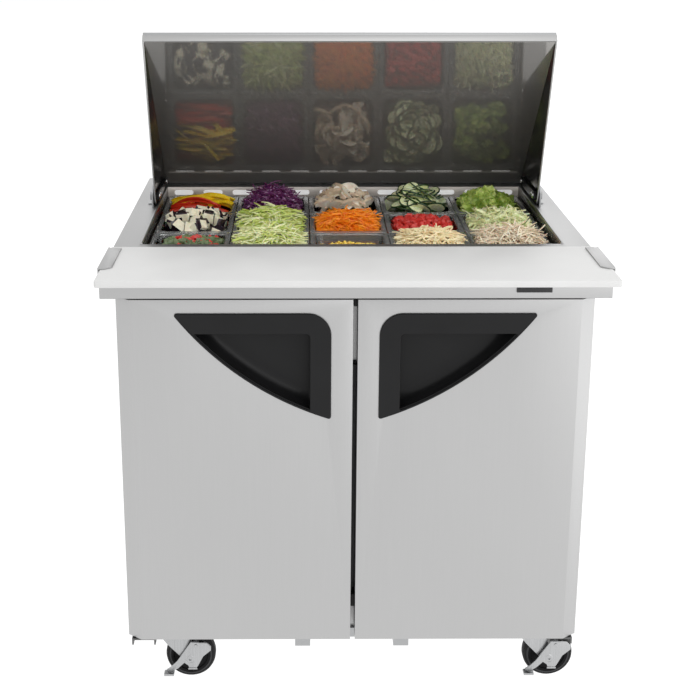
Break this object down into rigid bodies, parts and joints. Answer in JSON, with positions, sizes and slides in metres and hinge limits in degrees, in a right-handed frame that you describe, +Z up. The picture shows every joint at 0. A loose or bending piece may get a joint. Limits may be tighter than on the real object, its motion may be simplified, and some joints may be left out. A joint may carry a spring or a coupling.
{
  "type": "sandwich prep table",
  "caption": "Refrigerated sandwich prep table on casters with a tilting hood, food pan well, cutting board and two hinged doors with recessed pulls.",
  "frame": {"origin": "floor level, under the centre of the whole unit's bounding box with the hood open", "axes": "+Z up, +Y towards the rear of the unit, +X to the right seen from the front; the front is towards -Y"},
  "size_m": [0.924, 0.947, 1.2587],
  "materials": {
    "stainless": "fine vertical brushing, satin",
    "stainless_trim": "satin",
    "polished_lining": "polished, almost mirror-like",
    "inner_liner": "matt stucco",
    "handle_plastic": "fine-grained black",
    "black_metal": "satin black",
    "gasket": "matt grey",
    "board_plastic": "fine matt white polyethylene",
    "clear_plastic": "clear polycarbonate",
    "zinc": "bright zinc plate",
    "wheel_rubber": "matt black",
    "coated_wire": "epoxy coated, light grey",
    "machine_parts": "satin black enamel"
  },
  "bodies": {
    "base": {"cabinet_case": "stainless", "cabinet_liner": "inner_liner", "mullion": "gasket", "condensing_unit": "machine_parts", "rear_grille": "stainless_trim", "base_frame": "stainless_trim", "worktop": "stainless", "well_liner": "inner_liner", "pan_bar_front": "stainless_trim", "pan_bar_rear": "stainless_trim", "board_clip_left": "stainless_trim", "board_clip_right": "stainless_trim", "hood_cowl": "stainless", "hood_cheek_left": "stainless_trim", "hood_cheek_right": "stainless_trim", "hinge_lower_left": "stainless_trim", "hinge_lower_right": "stainless_trim", "hinge_upper_left": "stainless_trim", "hinge_upper_right": "stainless_trim"},
    "hood": {"hood_shell": "stainless", "hood_lining": "polished_lining", "hood_arm_left": "black_metal", "hood_arm_right": "black_metal"},
    "door_left": {"door_left_skin": "stainless", "door_left_liner": "inner_liner", "door_left_gasket": "gasket", "door_left_handle": "handle_plastic"},
    "door_right": {"door_right_skin": "stainless", "door_right_liner": "inner_liner", "door_right_gasket": "gasket", "door_right_handle": "handle_plastic"},
    "board": {"cutting_board": "board_plastic"},
    "shelf_body": {"shelf": "coated_wire"},
    "body_pan_front_1": {"pan_front_1": "clear_plastic"},
    "body_pan_front_2": {"pan_front_2": "clear_plastic"},
    "body_pan_front_3": {"pan_front_3": "clear_plastic"},
    "body_pan_front_4": {"pan_front_4": "clear_plastic"},
    "body_pan_front_5": {"pan_front_5": "clear_plastic"},
    "body_pan_middle_1": {"pan_middle_1": "clear_plastic"},
    "body_pan_middle_2": {"pan_middle_2": "clear_plastic"},
    "body_pan_middle_3": {"pan_middle_3": "clear_plastic"},
    "body_pan_middle_4": {"pan_middle_4": "clear_plastic"},
    "body_pan_middle_5": {"pan_middle_5": "clear_plastic"},
    "body_pan_rear_1": {"pan_rear_1": "clear_plastic"},
    "body_pan_rear_2": {"pan_rear_2": "clear_plastic"},
    "body_pan_rear_3": {"pan_rear_3": "clear_plastic"},
    "body_pan_rear_4": {"pan_rear_4": "clear_plastic"},
    "body_pan_rear_5": {"pan_rear_5": "clear_plastic"},
    "fork_front_left": {"caster_front_left_fork": "zinc"},
    "wheel_front_left": {"caster_front_left_wheel": "wheel_rubber"},
    "brake_front_left": {"caster_front_left_brake": "zinc"},
    "fork_front_right": {"caster_front_right_fork": "zinc"},
    "wheel_front_right": {"caster_front_right_wheel": "wheel_rubber"},
    "brake_front_right": {"caster_front_right_brake": "zinc"},
    "fork_rear_left": {"caster_rear_left_fork": "zinc"},
    "wheel_rear_left": {"caster_rear_left_wheel": "wheel_rubber"},
    "fork_rear_right": {"caster_rear_right_fork": "zinc"},
    "wheel_rear_right": {"caster_rear_right_wheel": "wheel_rubber"}
  },
  "joints": [
    {"name": "hood_swing", "type": "hinge", "parent": "base", "child": "hood", "pos_m": [0, 0.17829, 0.89289], "axis": [1, 0, 0], "range_deg": [0, 69.6]},
    {"name": "door_left_hinge", "type": "hinge", "parent": "base", "child": "door_left", "pos_m": [-0.421, -0.351, 0.476], "axis": [0, 0, 1], "range_deg": [-105, 0]},
    {"name": "door_right_hinge", "type": "hinge", "parent": "base", "child": "door_right", "pos_m": [0.421, -0.351, 0.476], "axis": [0, 0, 1], "range_deg": [0, 105]},
    {"name": "board_pull", "type": "slide", "parent": "base", "child": "board", "axis": [0, -1, 0], "range_m": [0, 0.3]},
    {"name": "shelf_lift", "type": "slide", "parent": "base", "child": "shelf_body", "axis": [0, 0, 1], "range_m": [0, 0.08]},
    {"name": "lift_front_1", "type": "slide", "parent": "base", "child": "body_pan_front_1", "axis": [0, 0, 1], "range_m": [0, 0.034]},
    {"name": "lift_front_2", "type": "slide", "parent": "base", "child": "body_pan_front_2", "axis": [0, 0, 1], "range_m": [0, 0.034]},
    {"name": "lift_front_3", "type": "slide", "parent": "base", "child": "body_pan_front_3", "axis": [0, 0, 1], "range_m": [0, 0.034]},
    {"name": "lift_front_4", "type": "slide", "parent": "base", "child": "body_pan_front_4", "axis": [0, 0, 1], "range_m": [0, 0.034]},
    {"name": "lift_front_5", "type": "slide", "parent": "base", "child": "body_pan_front_5", "axis": [0, 0, 1], "range_m": [0, 0.034]},
    {"name": "lift_middle_1", "type": "slide", "parent": "base", "child": "body_pan_middle_1", "axis": [0, 0, 1], "range_m": [0, 0.06]},
    {"name": "lift_middle_2", "type": "slide", "parent": "base", "child": "body_pan_middle_2", "axis": [0, 0, 1], "range_m": [0, 0.06]},
    {"name": "lift_middle_3", "type": "slide", "parent": "base", "child": "body_pan_middle_3", "axis": [0, 0, 1], "range_m": [0, 0.06]},
    {"name": "lift_middle_4", "type": "slide", "parent": "base", "child": "body_pan_middle_4", "axis": [0, 0, 1], "range_m": [0, 0.06]},
    {"name": "lift_middle_5", "type": "slide", "parent": "base", "child": "body_pan_middle_5", "axis": [0, 0, 1], "range_m": [0, 0.06]},
    {"name": "lift_rear_1", "type": "slide", "parent": "base", "child": "body_pan_rear_1", "axis": [0, 0, 1], "range_m": [0, 0.045]},
    {"name": "lift_rear_2", "type": "slide", "parent": "base", "child": "body_pan_rear_2", "axis": [0, 0, 1], "range_m": [0, 0.045]},
    {"name": "lift_rear_3", "type": "slide", "parent": "base", "child": "body_pan_rear_3", "axis": [0, 0, 1], "range_m": [0, 0.045]},
    {"name": "lift_rear_4", "type": "slide", "parent": "base", "child": "body_pan_rear_4", "axis": [0, 0, 1], "range_m": [0, 0.045]},
    {"name": "lift_rear_5", "type": "slide", "parent": "base", "child": "body_pan_rear_5", "axis": [0, 0, 1], "range_m": [0, 0.045]},
    {"name": "swivel_front_left", "type": "hinge", "parent": "base", "child": "fork_front_left", "pos_m": [-0.361, -0.285, 0.1], "axis": [0, 0, 1], "continuous": true},
    {"name": "roll_front_left", "type": "hinge", "parent": "fork_front_left", "child": "wheel_front_left", "pos_m": [-0.323, -0.285, 0.05], "axis": [0, 1, 0], "continuous": true},
    {"name": "brake_front_left", "type": "hinge", "parent": "fork_front_left", "child": "brake_front_left", "pos_m": [-0.311, -0.285, 0.08], "axis": [0, 1, 0], "range_deg": [0, 14]},
    {"name": "swivel_front_right", "type": "hinge", "parent": "base", "child": "fork_front_right", "pos_m": [0.361, -0.285, 0.1], "axis": [0, 0, 1], "continuous": true},
    {"name": "roll_front_right", "type": "hinge", "parent": "fork_front_right", "child": "wheel_front_right", "pos_m": [0.399, -0.285, 0.05], "axis": [0, 1, 0], "continuous": true},
    {"name": "brake_front_right", "type": "hinge", "parent": "fork_front_right", "child": "brake_front_right", "pos_m": [0.411, -0.285, 0.08], "axis": [0, 1, 0], "range_deg": [0, 14]},
    {"name": "swivel_rear_left", "type": "hinge", "parent": "base", "child": "fork_rear_left", "pos_m": [-0.361, 0.395, 0.1], "axis": [0, 0, 1], "continuous": true},
    {"name": "roll_rear_left", "type": "hinge", "parent": "fork_rear_left", "child": "wheel_rear_left", "pos_m": [-0.323, 0.395, 0.05], "axis": [0, 1, 0], "continuous": true},
    {"name": "swivel_rear_right", "type": "hinge", "parent": "base", "child": "fork_rear_right", "pos_m": [0.361, 0.395, 0.1], "axis": [0, 0, 1], "continuous": true},
    {"name": "roll_rear_right", "type": "hinge", "parent": "fork_rear_right", "child": "wheel_rear_right", "pos_m": [0.399, 0.395, 0.05], "axis": [0, 1, 0], "continuous": true}
  ]
}
